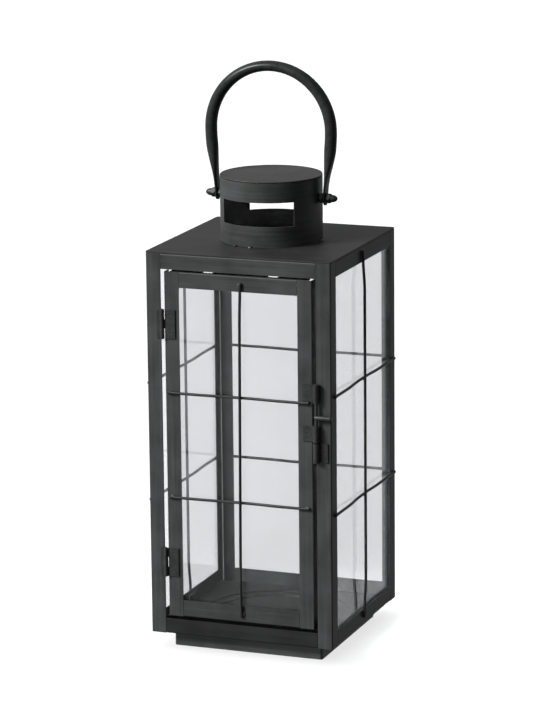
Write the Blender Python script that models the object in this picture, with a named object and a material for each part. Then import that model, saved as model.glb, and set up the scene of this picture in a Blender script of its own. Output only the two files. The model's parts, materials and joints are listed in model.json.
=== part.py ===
"""Candle lantern: a square sheet-metal frame with glazed sides, a hinged glazed door with a
sliding bolt, a round vent collar and a swinging bail handle. Metres, +Z up, front face at -Y,
origin under the middle of the plinth."""

import math

import bmesh
import bpy
from mathutils import Matrix, Vector

MM = 0.001

# Driving dimensions
WIDTH = 150 * MM
BODY_HEIGHT = 303 * MM
PLINTH_HEIGHT = 13.5 * MM
PLINTH_INSET = 13.6 * MM
SHEET = 1.0 * MM
FLANGE = 12 * MM
GLASS = 2.0 * MM
FIT = 0.3 * MM
BEND = 1.2 * MM

HALF = WIDTH / 2
BASE = PLINTH_HEIGHT
TOP = BASE + BODY_HEIGHT
FRAME_TOP = TOP - SHEET - FIT
POST_INNER = HALF - FLANGE

# Rails
RAIL_SHELF = 9 * MM
RAIL_END = POST_INNER - FIT
TAB_WIDTH = 14 * MM
TAB_HEIGHT = 9 * MM
TAB_SHEET = 0.8 * MM

# Glazing
PANE_OUTER = HALF - SHEET - 0.6 * MM
PANE_INNER = PANE_OUTER - GLASS
PANE_LOW = BASE + SHEET + 0.4 * MM
PANE_HIGH = FRAME_TOP - SHEET - 0.4 * MM
TAB_BACK = PANE_INNER - 0.4 * MM

# Strip that the shut door closes against, behind the gap under it
STOP_BACK = HALF - 10 * MM
STOP_LEGS = (4 * MM, 11.9 * MM)

# Floor and plinth
FLOOR_HALF = TAB_BACK - TAB_SHEET - 0.8 * MM
FLOOR_LOW = BASE + SHEET + FIT
DISH_RADII = (59 * MM, 51 * MM)
DISH_STEP = 1.2 * MM
DISH_SLOPE = 1.5 * MM
PLINTH_HALF = HALF - PLINTH_INSET
PLINTH_LIP = 5 * MM
PLINTH_CORNER = 2.0 * MM

# Vent collar
COLLAR_RADIUS = 39.7 * MM
COLLAR_TOP = TOP + 51.4 * MM
SLOT_LOW = TOP + 16.5 * MM
SLOT_HIGH = TOP + 35.0 * MM
SLOT_HALF_ANGLE = math.radians(46.6)
ROOF_HOLE_RADIUS = 30 * MM
COLLAR_SIDES = 72

# Bail handle and its pivots
PIVOT_Z = TOP + 34.3 * MM
STRAP_X = 44.4 * MM
BAIL_RADIUS = 49.3 * MM
BAIL_CENTRE_Z = TOP + 85.7 * MM
STRAP_HALF = (1.0 * MM, 5.0 * MM)
TUBE_HALF = (4.7 * MM, 4.7 * MM)
CROWN_HALF = (4.1 * MM, 5.1 * MM)
SCREW_RADIUS = 2.0 * MM
SCREW_HOLE = 2.2 * MM
NUT_ACROSS = 7.0 * MM
CAP_NUT_TIP = 54.2 * MM
BAIL_SIDES = 14

# Door
DOOR_HALF = 60.1 * MM
DOOR_LOW = BASE + 14.8 * MM
DOOR_HIGH = TOP - 15.0 * MM
STILE = 11.9 * MM
DOOR_RAILS = {"top": 12.2 * MM, "bottom": 13.1 * MM}
DOOR_RETURN = 8.5 * MM
DOOR_TAB_WIDTH = 8 * MM
DOOR_TAB_X = 26.5 * MM

# Hinges
HINGE_X = -61.45 * MM
HINGE_Y = -HALF - 1.5 * MM
HINGE_LOWS = {"upper": BASE + 235.8 * MM, "lower": BASE + 46.8 * MM}
HINGE_HEIGHT = 22.7 * MM
KNUCKLE_RADIUS = 1.75 * MM
HINGE_PIN_RADIUS = 0.85 * MM
HINGE_HOLE_RADIUS = 1.05 * MM
LEAF = 0.8 * MM
DOOR_LEAF_REACH = 10.4 * MM
FRAME_LEAF_REACH = 4.9 * MM

# Drop bolt
BOLT_X = 63.9 * MM
BARREL_RADIUS = 2.6 * MM
BARREL_HOLE = 1.55 * MM
BOLT_Y = -HALF - FIT - BARREL_RADIUS
BOLT_RADIUS = 1.3 * MM
BOLT_LIFT = 4.4 * MM
UPPER_GUIDE = (BASE + 194.9 * MM, BASE + 208.8 * MM)
MIDDLE_GUIDE = (BASE + 163.8 * MM, BASE + 176.2 * MM)
KEEPER = (BASE + 148.0 * MM, BASE + 163.0 * MM)
LATCH_LEAF_REACH = 11.8 * MM
KEEPER_LEAF_REACH = 8.6 * MM
ARM_RADIUS = 2.1 * MM
ARM_END_X = 76.2 * MM

# Wire bars
WIRE_RADIUS = 1.12 * MM
WIRE_SIDES = 10
WIRE_Y = HALF + 0.2 * MM + WIRE_RADIUS
WIRE_STEP = 1.2 * MM
UPRIGHT_JOGGLE = (5 * MM, 32 * MM)
CROSSBAR_DIP = (6 * MM, 36 * MM)
UPRIGHT_X = {"door": (0.6 * MM, 2.6 * MM), "right": (-4.4 * MM, -4.4 * MM), "back": (0, 0),
             "left": (-6.9 * MM, -6.9 * MM)}
SIDE_UPRIGHT_Z = (BASE + 5.5 * MM, BASE + 299.4 * MM)
SIDE_CROSSBAR_Z = (BASE + 105.5 * MM, BASE + 198.3 * MM)
SIDE_CROSSBAR_HALF = 70.5 * MM
DOOR_UPRIGHT_Z = (BASE + 18.6 * MM, BASE + 283.1 * MM)
DOOR_CROSSBAR_Z = (BASE + 110.5 * MM, BASE + 193.4 * MM)
DOOR_CROSSBAR_HALF = 58 * MM


# Helpers

def clear_scene():
    for obj in list(bpy.data.objects):
        bpy.data.objects.remove(obj, do_unlink=True)


def make_material(name, color, roughness, metallic, alpha=1.0, transmission=0.0):
    material = bpy.data.materials.new(name)
    material.use_nodes = True
    shader = material.node_tree.nodes["Principled BSDF"]
    shader.inputs["Base Color"].default_value = (*color, 1.0)
    shader.inputs["Roughness"].default_value = roughness
    shader.inputs["Metallic"].default_value = metallic
    shader.inputs["Alpha"].default_value = alpha
    shader.inputs["Transmission Weight"].default_value = transmission
    return material


def painted(name, value):
    """Black powder coat, a little lighter or darker from piece to piece."""
    return make_material(name, (value, value, value * 1.03), 0.55, 0.0)


def clear_glass(name):
    return make_material(name, (0.9, 0.95, 0.93), 0.03, 0.0, 0.3, 1.0)


def mesh_from(bm):
    """Turns a bmesh into a mesh whose faces point out."""
    bmesh.ops.recalc_face_normals(bm, faces=bm.faces)
    mesh = bpy.data.meshes.new("shape")
    bm.to_mesh(mesh)
    bm.free()
    return mesh


def prism(outline, low, high, axis="Z"):
    """An outline of (u, v) points pushed along an axis: u, v are x, y for Z, y, z for X, x, z for Y."""
    place = {
        "Z": lambda u, v, w: (u, v, w),
        "X": lambda u, v, w: (w, u, v),
        "Y": lambda u, v, w: (u, w, v),
    }[axis]
    bm = bmesh.new()
    rings = [[bm.verts.new(place(u, v, w)) for u, v in outline] for w in (low, high)]
    bm.faces.new(rings[0])
    bm.faces.new(rings[1])
    count = len(outline)
    for i in range(count):
        j = (i + 1) % count
        bm.faces.new((rings[0][i], rings[0][j], rings[1][j], rings[1][i]))
    return mesh_from(bm)


def box(low, high):
    outline = [(low[0], low[1]), (high[0], low[1]), (high[0], high[1]), (low[0], high[1])]
    return prism(outline, low[2], high[2])


def arc(centre, radius, start, end, steps):
    """Points on a circle, from one angle to another in degrees."""
    angles = [math.radians(start + (end - start) * i / steps) for i in range(steps + 1)]
    return [(centre[0] + radius * math.cos(a), centre[1] + radius * math.sin(a)) for a in angles]


def rounded_square(half, corner, steps=4):
    points = []
    for quarter, (sx, sy) in enumerate(((1, 1), (-1, 1), (-1, -1), (1, -1))):
        centre = (sx * (half - corner), sy * (half - corner))
        points += arc(centre, corner, 90 * quarter, 90 * quarter + 90, steps)
    return points


def angle_outline(leg_u, leg_v, thick=SHEET, bend=BEND):
    """Outline of a folded angle: the outside of its bend at (0, 0), legs towards +u and +v."""
    inner = max(bend - thick, 0.1 * MM)
    points = [(leg_u, 0), (leg_u, thick)]
    points += arc((thick + inner, thick + inner), inner, 270, 180, 2)
    points += [(thick, leg_v), (0, leg_v)]
    points += arc((bend, bend), bend, 180, 270, 4)
    return points


def turned(profile, sides, closed):
    """A (radius, height) profile turned about Z. An open profile starts and ends on the axis."""
    bm = bmesh.new()
    rings = []
    for radius, height in profile:
        if radius == 0:
            rings.append([bm.verts.new((0, 0, height))])
            continue
        ring = []
        for i in range(sides):
            turn = 2 * math.pi * i / sides
            ring.append(bm.verts.new((radius * math.cos(turn), radius * math.sin(turn), height)))
        rings.append(ring)
    pairs = list(zip(rings, rings[1:]))
    if closed:
        pairs.append((rings[-1], rings[0]))
    for first, second in pairs:
        for i in range(sides):
            j = (i + 1) % sides
            corners = [first[i % len(first)], first[j % len(first)]]
            corners += [second[j % len(second)], second[i % len(second)]]
            unique = list(dict.fromkeys(corners))
            if len(unique) > 2:
                bm.faces.new(unique)
    return mesh_from(bm)


def moved(mesh, offset=(0, 0, 0), turn=None):
    """Turns a mesh, then moves it."""
    if turn is not None:
        mesh.transform(turn.to_4x4())
    mesh.transform(Matrix.Translation(Vector(offset)))
    return mesh


def along_x(sign=1):
    """Turns +Z to +X or -X."""
    return Matrix.Rotation(sign * math.pi / 2, 3, "Y")


def combine(base, other, operation):
    """Boolean of two closed meshes."""
    first = bpy.data.objects.new("first", base)
    second = bpy.data.objects.new("second", other)
    for obj in (first, second):
        bpy.context.collection.objects.link(obj)
    step = first.modifiers.new("combine", "BOOLEAN")
    step.operation = operation
    step.object = second
    graph = bpy.context.evaluated_depsgraph_get()
    result = bpy.data.meshes.new_from_object(first.evaluated_get(graph))
    for obj in (first, second):
        bpy.data.objects.remove(obj, do_unlink=True)
    return result


def union(*meshes):
    result = meshes[0]
    for mesh in meshes[1:]:
        result = combine(result, mesh, "UNION")
    return result


def cut(mesh, *cutters):
    for cutter in cutters:
        mesh = combine(mesh, cutter, "DIFFERENCE")
    return mesh


def add_axis(name, origin, parent=None):
    """An empty on a joint's axis, for the pieces that turn about it."""
    empty = bpy.data.objects.new(name, None)
    bpy.context.collection.objects.link(empty)
    empty.location = origin
    empty.parent = parent
    empty.empty_display_size = 10 * MM
    return empty


def add_node(name, mesh, material, origin=(0, 0, 0), parent=None, smooth=False):
    """Names a sub-part, gives it its material and puts its origin where it belongs."""
    mesh.transform(Matrix.Translation(-Vector(origin)))
    mesh.name = name
    mesh.materials.clear()
    mesh.materials.append(material)
    if smooth:
        mesh.shade_smooth()
        mesh.set_sharp_from_angle(angle=math.radians(35))
    obj = bpy.data.objects.new(name, mesh)
    bpy.context.collection.objects.link(obj)
    obj.parent = parent
    obj.location = Vector(origin) - (parent.location if parent else Vector())
    return obj


def quarter_turn(count):
    return Matrix.Rotation(count * math.pi / 2, 3, "Z")


# Frame: posts, rails, roof, floor and plinth. SIDES says how far each side is turned from the front.

SIDES = {"front": 0, "right": 1, "back": 2, "left": 3}


def add_posts():
    names = ("post_front_left", "post_front_right", "post_back_right", "post_back_left")
    for turns, name in enumerate(names):
        outline = [(u - HALF, v - HALF) for u, v in angle_outline(FLANGE, FLANGE)]
        mesh = prism(outline, BASE, FRAME_TOP)
        add_node(name, moved(mesh, turn=quarter_turn(turns)), painted(name, 0.045))


def rail_mesh(top, with_tab):
    """A front rail: its face stands in the front of the frame, its shelf points into the lantern."""
    outline = [(u - HALF, v) for u, v in angle_outline(RAIL_SHELF, FLANGE)]
    if top:
        outline = [(u, FRAME_TOP - v) for u, v in outline]
    else:
        outline = [(u, BASE + v) for u, v in outline]
    mesh = prism(outline, -RAIL_END, RAIL_END, "X")
    if with_tab:
        low, high = BASE + SHEET / 2, BASE + SHEET + TAB_HEIGHT
        if top:
            low, high = FRAME_TOP - SHEET - TAB_HEIGHT, FRAME_TOP - SHEET / 2
        corner = (-TAB_WIDTH / 2, -TAB_BACK, low)
        opposite = (TAB_WIDTH / 2, -TAB_BACK + TAB_SHEET, high)
        mesh = union(mesh, box(corner, opposite))
    return mesh


def add_rails():
    for side, turns in SIDES.items():
        for level in ("top", "bottom"):
            name = f"rail_{level}_{side}"
            mesh = rail_mesh(level == "top", side != "front")
            add_node(name, moved(mesh, turn=quarter_turn(turns)), painted(name, 0.043))


def add_door_stop():
    """An angle on the floor: a short leg towards the door and a tall one behind its bottom rail."""
    low = BASE + 2 * SHEET + 2 * FIT
    outline = [(-STOP_BACK - u, low + v) for u, v in angle_outline(*STOP_LEGS)]
    add_node("door_stop", prism(outline, -RAIL_END, RAIL_END, "X"), painted("door_stop", 0.04))


def add_roof():
    plate = prism(rounded_square(HALF, BEND), TOP - SHEET, TOP)
    hole = prism(arc((0, 0), ROOF_HOLE_RADIUS, 0, 350, 35), TOP - 3 * SHEET, TOP + SHEET)
    add_node("roof_plate", cut(plate, hole), painted("roof_plate", 0.05))


def square_reach(turn):
    """Distance from the middle to a square of half width 1, at an angle."""
    return 1 / max(abs(math.cos(turn)), abs(math.sin(turn)))


def add_floor():
    """A square plate with two shallow round steps pressed down to the candle's seat."""
    outer, inner = DISH_RADII
    deep = [FLOOR_LOW - DISH_STEP * i for i in range(3)]
    under = [(0, deep[2]), (inner - DISH_SLOPE, deep[2]), (inner, deep[1])]
    under += [(outer - DISH_SLOPE, deep[1]), (outer, deep[0]), (FLOOR_HALF, deep[0])]
    over = [(radius, height + SHEET) for radius, height in reversed(under)]
    mesh = turned(under + over, COLLAR_SIDES, closed=False)
    for vertex in mesh.vertices:
        flat = Vector(vertex.co[:2])
        if flat.length > outer + SHEET:
            reach = square_reach(math.atan2(flat.y, flat.x))
            vertex.co.x *= reach
            vertex.co.y *= reach
    add_node("floor_plate", mesh, painted("floor_plate", 0.06), smooth=True)


def add_plinth():
    """A folded band under the floor with a lip turned in at the bottom to rest on."""
    high = BASE + SHEET
    outside = prism(rounded_square(PLINTH_HALF, PLINTH_CORNER), 0, high)
    inner_half = PLINTH_HALF - SHEET
    hollow = prism(rounded_square(inner_half, PLINTH_CORNER - SHEET), SHEET, high + SHEET)
    opening = prism(rounded_square(inner_half - PLINTH_LIP, SHEET), -SHEET, 2 * SHEET)
    add_node("plinth", cut(outside, hollow, opening), painted("plinth", 0.05))


# Glazing

def add_panes():
    """The back pane runs to both back corners, and the side panes stop just short of it."""
    reach = PANE_OUTER
    stop = PANE_INNER - 0.4 * MM
    spans = {
        "pane_back": ((-reach, PANE_INNER), (reach, PANE_OUTER)),
        "pane_right": ((PANE_INNER, -reach), (PANE_OUTER, stop)),
        "pane_left": ((-PANE_OUTER, -reach), (-PANE_INNER, stop)),
    }
    for name, (low, high) in spans.items():
        add_node(name, box((*low, PANE_LOW), (*high, PANE_HIGH)), clear_glass(name))


# Vent collar

def wedge(turn):
    """A sector that opens one slot in the collar, on the front and then turned about the axis."""
    reach = COLLAR_RADIUS * 1.3
    middle = -90 + turn
    half = math.degrees(SLOT_HALF_ANGLE)
    outline = [(0, 0)] + arc((0, 0), reach, middle - half, middle + half, 12)
    return prism(outline, SLOT_LOW, SLOT_HIGH)


def pivot_bore(side, start, end):
    """A round cutter along X through a handle pivot."""
    profile = [(0, start), (SCREW_HOLE, start), (SCREW_HOLE, end), (0, end)]
    return moved(turned(profile, 20, closed=False), (0, 0, PIVOT_Z), along_x(side))


def add_collar():
    low = TOP + FIT
    high = COLLAR_TOP - SHEET - FIT
    inner = COLLAR_RADIUS - SHEET
    wall = [(inner, low), (COLLAR_RADIUS, low), (COLLAR_RADIUS, high), (inner, high)]
    mesh = turned(wall, COLLAR_SIDES, closed=True)
    bores = [pivot_bore(side, inner - 5 * MM, COLLAR_RADIUS + 5 * MM) for side in (1, -1)]
    mesh = cut(mesh, wedge(0), wedge(180), *bores)
    add_node("vent_collar", mesh, painted("vent_collar", 0.045), smooth=True)


def add_lid():
    edge = 0.4 * MM
    profile = [(0, COLLAR_TOP - SHEET), (COLLAR_RADIUS, COLLAR_TOP - SHEET)]
    profile += [(COLLAR_RADIUS, COLLAR_TOP - edge), (COLLAR_RADIUS - edge, COLLAR_TOP), (0, COLLAR_TOP)]
    mesh = turned(profile, COLLAR_SIDES, closed=False)
    add_node("vent_lid", mesh, painted("vent_lid", 0.055), smooth=True)


# Bail handle

def blend(low, high, amount):
    return tuple(a + (b - a) * amount for a, b in zip(low, high))


def eased(value):
    value = min(max(value, 0.0), 1.0)
    return value * value * (3 - 2 * value)


def bail_half_path():
    """Stations from the end of the right strap to the crown: x, z, direction and half sizes."""
    strap_end = PIVOT_Z - 5.5 * MM
    flat_end = PIVOT_Z + 8 * MM
    round_start = BAIL_CENTRE_Z - 12 * MM
    stations = []
    for below, width in ((0.0, 0.45), (0.9, 0.78), (2.4, 0.96)):
        half = (STRAP_HALF[0], STRAP_HALF[1] * width)
        stations.append((STRAP_X, strap_end + below * MM, half))
    stations.append((STRAP_X, PIVOT_Z, STRAP_HALF))
    leg_steps = 8
    for i in range(leg_steps + 1):
        z = flat_end + (BAIL_CENTRE_Z - flat_end) * i / leg_steps
        swell = eased((z - flat_end) / (round_start - flat_end))
        reach = eased((z - PIVOT_Z) / (BAIL_CENTRE_Z - PIVOT_Z)) ** 0.8
        x = STRAP_X + (BAIL_RADIUS - STRAP_X) * reach
        stations.append((x, z, blend(STRAP_HALF, TUBE_HALF, swell)))
    arc_steps = 9
    for i in range(1, arc_steps + 1):
        turn = math.pi / 2 * i / arc_steps
        x = BAIL_RADIUS * math.cos(turn)
        z = BAIL_CENTRE_Z + BAIL_RADIUS * math.sin(turn)
        stations.append((x, z, blend(TUBE_HALF, CROWN_HALF, eased(i / arc_steps))))
    return stations


def bail_mesh():
    """An oval tube swept along the bail, flattened to a strap at each end."""
    half = bail_half_path()
    mirrored = [(-x, z, size) for x, z, size in reversed(half[:-1])]
    stations = half + mirrored
    bm = bmesh.new()
    rings = []
    for i, (x, z, (thick, wide)) in enumerate(stations):
        before = stations[max(i - 1, 0)]
        after = stations[min(i + 1, len(stations) - 1)]
        way = Vector((after[0] - before[0], 0, after[1] - before[1])).normalized()
        across = Vector((way.z, 0, -way.x))
        ring = []
        for j in range(BAIL_SIDES):
            turn = 2 * math.pi * (j + 0.5) / BAIL_SIDES
            offset = across * thick * math.cos(turn) + Vector((0, wide * math.sin(turn), 0))
            ring.append(bm.verts.new(Vector((x, 0, z)) + offset))
        rings.append(ring)
    bm.faces.new(rings[0])
    bm.faces.new(rings[-1])
    for first, second in zip(rings, rings[1:]):
        for j in range(BAIL_SIDES):
            k = (j + 1) % BAIL_SIDES
            bm.faces.new((first[j], first[k], second[k], second[j]))
    bores = [pivot_bore(side, STRAP_X - 5 * MM, STRAP_X + 5 * MM) for side in (1, -1)]
    return cut(mesh_from(bm), *bores)


def add_handle():
    pivot = (0, 0, PIVOT_Z)
    add_node("bail_handle", bail_mesh(), painted("bail_handle", 0.05), origin=pivot, smooth=True)


def hex_outline(across):
    return arc((0, 0), across / math.sqrt(3), 30, 330, 5)


def screw_hole(low, high):
    """A round cutter along Z that runs past both ends."""
    profile = [(0, low - MM), (SCREW_HOLE, low - MM), (SCREW_HOLE, high + MM), (0, high + MM)]
    return turned(profile, 20, closed=False)


def lock_nut_mesh(low, high):
    return cut(prism(hex_outline(NUT_ACROSS), low, high), screw_hole(low, high))


def pivot_screw_mesh(thread_end):
    """Pan head inside the collar, shank out through the collar, nut and strap into the cap nut."""
    head_high = COLLAR_RADIUS - SHEET - 1.3 * MM
    head_low = head_high - 1.9 * MM
    profile = [(0, head_low), (2.4 * MM, head_low), (3.4 * MM, head_low + 0.9 * MM)]
    profile += [(3.4 * MM, head_high), (SCREW_RADIUS, head_high), (SCREW_RADIUS, thread_end)]
    profile += [(0, thread_end)]
    return turned(profile, 20, closed=False)


def cap_nut_mesh(low):
    """A hexagon with a domed cap, hollow for the end of the screw."""
    hex_high = low + 3.3 * MM
    dome = [(0, low + MM), (2.9 * MM, low + MM), (2.9 * MM, hex_high + 1.4 * MM)]
    dome += [(2.5 * MM, CAP_NUT_TIP - 2.0 * MM), (1.5 * MM, CAP_NUT_TIP - 0.6 * MM), (0, CAP_NUT_TIP)]
    body = union(prism(hex_outline(NUT_ACROSS), low, hex_high), turned(dome, 20, closed=False))
    return cut(body, screw_hole(low, hex_high))


def add_pivots():
    lock_low = COLLAR_RADIUS + FIT
    lock_high = STRAP_X - STRAP_HALF[0] - FIT
    cap_low = STRAP_X + STRAP_HALF[0] + FIT
    for side_name, side in (("right", 1), ("left", -1)):
        place = ((0, 0, PIVOT_Z), along_x(side))
        pieces = {
            "pivot_screw": pivot_screw_mesh(cap_low + 3.6 * MM),
            "pivot_lock_nut": lock_nut_mesh(lock_low, lock_high),
            "pivot_cap_nut": cap_nut_mesh(cap_low),
        }
        for kind, mesh in pieces.items():
            name = f"{kind}_{side_name}"
            add_node(name, moved(mesh, *place), painted(name, 0.03), smooth=True)


# Door. Its pieces hang from an empty on the hinge axis.

def door_stile_mesh(side):
    """A folded angle: its face in the front, its return at the door's outer edge, a tab behind the glass."""
    outline = [(-DOOR_HALF + u, -HALF + v) for u, v in angle_outline(STILE, DOOR_RETURN, bend=SHEET)]
    mesh = prism(outline, DOOR_LOW, DOOR_HIGH)
    middle = (DOOR_LOW + DOOR_HIGH) / 2
    low = (-DOOR_HALF + SHEET / 2, -TAB_BACK, middle - DOOR_TAB_WIDTH / 2)
    high = (-DOOR_HALF + 9 * MM, -TAB_BACK + TAB_SHEET, middle + DOOR_TAB_WIDTH / 2)
    mesh = union(mesh, box(low, high))
    if side == "right":
        mesh.transform(Matrix.Scale(-1, 4, (1, 0, 0)))
        mesh.flip_normals()
    return mesh


def door_rail_mesh(level):
    """Face between the stiles, return running on behind them, and two tabs bent out of the return."""
    return_half = DOOR_HALF - 4.2 * MM
    tall = DOOR_RAILS[level]
    outline = [(-HALF + u, v) for u, v in angle_outline(DOOR_RETURN, tall, bend=SHEET)]
    mesh = prism(outline, -return_half, return_half, "X")
    face_half = DOOR_HALF - STILE - FIT
    front, behind = -HALF - SHEET, -HALF + SHEET + FIT
    for side in (-1, 1):
        ends = sorted((side * face_half, side * DOOR_HALF))
        mesh = cut(mesh, box((ends[0], front, -SHEET), (ends[1], behind, tall + SHEET)))
    half_tab = DOOR_TAB_WIDTH / 2
    half_notch = half_tab + 0.2 * MM
    for x in (-DOOR_TAB_X, DOOR_TAB_X):
        notch_low = (x - half_notch, -TAB_BACK + TAB_SHEET / 2, -SHEET)
        notch_high = (x + half_notch, -HALF + DOOR_RETURN + SHEET, 2 * SHEET)
        mesh = cut(mesh, box(notch_low, notch_high))
        tab = box((x - half_tab, -TAB_BACK, 0.2 * MM), (x + half_tab, -TAB_BACK + TAB_SHEET, 9 * MM))
        mesh = union(mesh, tab)
    if level == "top":
        mesh.transform(Matrix.Scale(-1, 4, (0, 0, 1)))
        mesh.flip_normals()
        return moved(mesh, (0, 0, DOOR_HIGH))
    return moved(mesh, (0, 0, DOOR_LOW))


def add_door(axis):
    for side in ("left", "right"):
        name = f"door_stile_{side}"
        add_node(name, door_stile_mesh(side), painted(name, 0.045), (HINGE_X, HINGE_Y, 0), axis)
    for level in ("top", "bottom"):
        name = f"door_rail_{level}"
        add_node(name, door_rail_mesh(level), painted(name, 0.045), (HINGE_X, HINGE_Y, 0), axis)
    reach = DOOR_HALF - SHEET - 0.4 * MM
    inset = SHEET + 0.4 * MM
    pane = box((-reach, -PANE_OUTER, DOOR_LOW + inset), (reach, -PANE_INNER, DOOR_HIGH - inset))
    add_node("pane_door", pane, clear_glass("pane_door"), (HINGE_X, HINGE_Y, 0), axis)


# Hinges and latch barrels: a strip whose edge is curled round a pin

def curl(low, high, outer, hole, reach, strip_back):
    """A barrel on the Z axis and the strip it is curled from, towards +X, its back at a distance in +Y."""
    strip_front = strip_back - LEAF
    start = math.degrees(math.asin(strip_back / outer))
    end = math.degrees(math.asin(strip_front / outer)) + 360
    outline = [(reach, strip_front), (reach, strip_back)]
    outline += arc((0, 0), outer, start, end, 18)
    bore = prism(arc((0, 0), hole, 0, 342, 19), low - MM, high + MM)
    return cut(prism(outline, low, high), bore)


def hinge_leaf_mesh(gaps, reach, low, high):
    """A curled leaf with gaps cut in its barrel for the other leaf's knuckles."""
    mesh = curl(low, high, KNUCKLE_RADIUS, HINGE_HOLE_RADIUS, reach, -HINGE_Y - HALF - FIT)
    clear = KNUCKLE_RADIUS + FIT
    for gap_low, gap_high in gaps:
        mesh = cut(mesh, box((-2 * clear, -2 * clear, gap_low), (clear, 2 * clear, gap_high)))
    return mesh


def knuckle_gaps(low):
    """What is cut from the leaf with the outer two knuckles, and from the leaf with the middle one."""
    third = HINGE_HEIGHT / 3
    gap = FIT / 2
    high = low + HINGE_HEIGHT
    for_outer = [(low + third - gap, high - third + gap)]
    for_middle = [(low - MM, low + third + gap), (high - third - gap, high + MM)]
    return for_outer, for_middle


def hinge_pin_mesh(low):
    radius = HINGE_PIN_RADIUS
    proud = 0.6 * MM
    high = low + HINGE_HEIGHT + proud
    start = low - proud
    profile = [(0, start), (radius * 0.7, start), (radius, start + 0.3 * MM)]
    profile += [(radius, high - 0.3 * MM), (radius * 0.7, high), (0, high)]
    return turned(profile, 16, closed=False)


def add_hinges(axis):
    origin = (HINGE_X, HINGE_Y, 0)
    mirror = Matrix.Scale(-1, 4, (1, 0, 0))
    for place, low in HINGE_LOWS.items():
        outer, middle = knuckle_gaps(low)
        on_frame, on_door = (outer, middle) if place == "upper" else (middle, outer)
        high = low + HINGE_HEIGHT
        frame_leaf = hinge_leaf_mesh(on_frame, FRAME_LEAF_REACH, low, high)
        frame_leaf.transform(mirror)
        frame_leaf.flip_normals()
        door_leaf = hinge_leaf_mesh(on_door, DOOR_LEAF_REACH, low, high)
        pin = hinge_pin_mesh(low)
        name = f"hinge_{place}"
        add_node(f"{name}_frame_leaf", moved(frame_leaf, origin), painted(f"{name}_frame_leaf", 0.035))
        door_name = f"{name}_door_leaf"
        add_node(door_name, moved(door_leaf, origin), painted(door_name, 0.035), origin, axis)
        add_node(f"{name}_pin", moved(pin, origin), painted(f"{name}_pin", 0.03), smooth=True)


def latch_barrel(span, reach, side):
    """A guide or keeper for the bolt. Side -1 puts its leaf on the door, 1 on the post."""
    mesh = curl(span[0], span[1], BARREL_RADIUS, BARREL_HOLE, reach, BARREL_RADIUS)
    if side < 0:
        mesh.transform(Matrix.Scale(-1, 4, (1, 0, 0)))
        mesh.flip_normals()
    return moved(mesh, (BOLT_X, BOLT_Y, 0))


def bolt_mesh():
    """An upright rod with a finger arm to the right, lifted just clear of the keeper."""
    low = KEEPER[1] + 0.4 * MM
    high = UPPER_GUIDE[1] + 0.5 * MM
    tip = 0.4 * MM
    radius = BOLT_RADIUS
    rod = turned([(0, low), (radius - tip, low), (radius, low + tip), (radius, high - tip),
                  (radius - tip, high), (0, high)], 16, closed=False)
    arm_z = MIDDLE_GUIDE[1] + FIT + ARM_RADIUS + BOLT_LIFT
    length = ARM_END_X - BOLT_X
    round_end = 0.8 * MM
    arm = turned([(0, -BOLT_RADIUS), (ARM_RADIUS * 0.6, -BOLT_RADIUS), (ARM_RADIUS, 0.6 * MM),
                  (ARM_RADIUS, length - round_end), (ARM_RADIUS - round_end, length), (0, length)],
                 16, closed=False)
    return moved(union(rod, moved(arm, (0, 0, arm_z), along_x())), (BOLT_X, BOLT_Y, 0))


def add_latch(axis):
    door_origin = (HINGE_X, HINGE_Y, 0)
    for name, span in (("latch_upper_guide", UPPER_GUIDE), ("latch_middle_guide", MIDDLE_GUIDE)):
        mesh = latch_barrel(span, LATCH_LEAF_REACH, -1)
        add_node(name, mesh, painted(name, 0.04), door_origin, axis, smooth=True)
    keeper = latch_barrel(KEEPER, KEEPER_LEAF_REACH, 1)
    add_node("latch_keeper", keeper, painted("latch_keeper", 0.04), smooth=True)
    bolt_origin = (BOLT_X, BOLT_Y, KEEPER[1])
    add_node("latch_bolt", bolt_mesh(), painted("latch_bolt", 0.035), bolt_origin, axis, smooth=True)


# Wire bars

def wire_mesh(points):
    """A round wire through points (x, y, z), square-cut at both ends."""
    points = [Vector(point) for point in points]
    bm = bmesh.new()
    rings = []
    for i, point in enumerate(points):
        way = (points[min(i + 1, len(points) - 1)] - points[max(i - 1, 0)]).normalized()
        across = way.cross(Vector((0, 1, 0))).normalized()
        depth = across.cross(way)
        ring = []
        for j in range(WIRE_SIDES):
            turn = 2 * math.pi * j / WIRE_SIDES
            offset = across * math.cos(turn) + depth * math.sin(turn)
            ring.append(bm.verts.new(point + offset * WIRE_RADIUS))
        rings.append(ring)
    bm.faces.new(rings[0])
    bm.faces.new(rings[-1])
    for first, second in zip(rings, rings[1:]):
        for j in range(WIRE_SIDES):
            k = (j + 1) % WIRE_SIDES
            bm.faces.new((first[j], first[k], second[k], second[j]))
    return mesh_from(bm)


def upright_mesh(span, xs):
    """Meets the rails at both ends and steps out a little in between, over the crossbars."""
    low, high = span
    short, long = UPRIGHT_JOGGLE
    out = WIRE_Y + WIRE_STEP
    places = [(low, WIRE_Y), (low + short, WIRE_Y), (low + long, out)]
    places += [(high - long, out), (high - short, WIRE_Y), (high, WIRE_Y)]
    points = []
    for z, reach in places:
        x = xs[0] + (xs[1] - xs[0]) * (z - low) / (high - low)
        points.append((x, -reach, z))
    return wire_mesh(points)


def crossbar_mesh(half, z, crossing):
    """Meets the posts at both ends and dips in a little under the upright."""
    short, long = CROSSBAR_DIP
    dip = WIRE_Y - WIRE_STEP
    return wire_mesh([(-half, -WIRE_Y, z), (crossing - long, -WIRE_Y, z), (crossing - short, -dip, z),
                      (crossing + short, -dip, z), (crossing + long, -WIRE_Y, z), (half, -WIRE_Y, z)])


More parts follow.
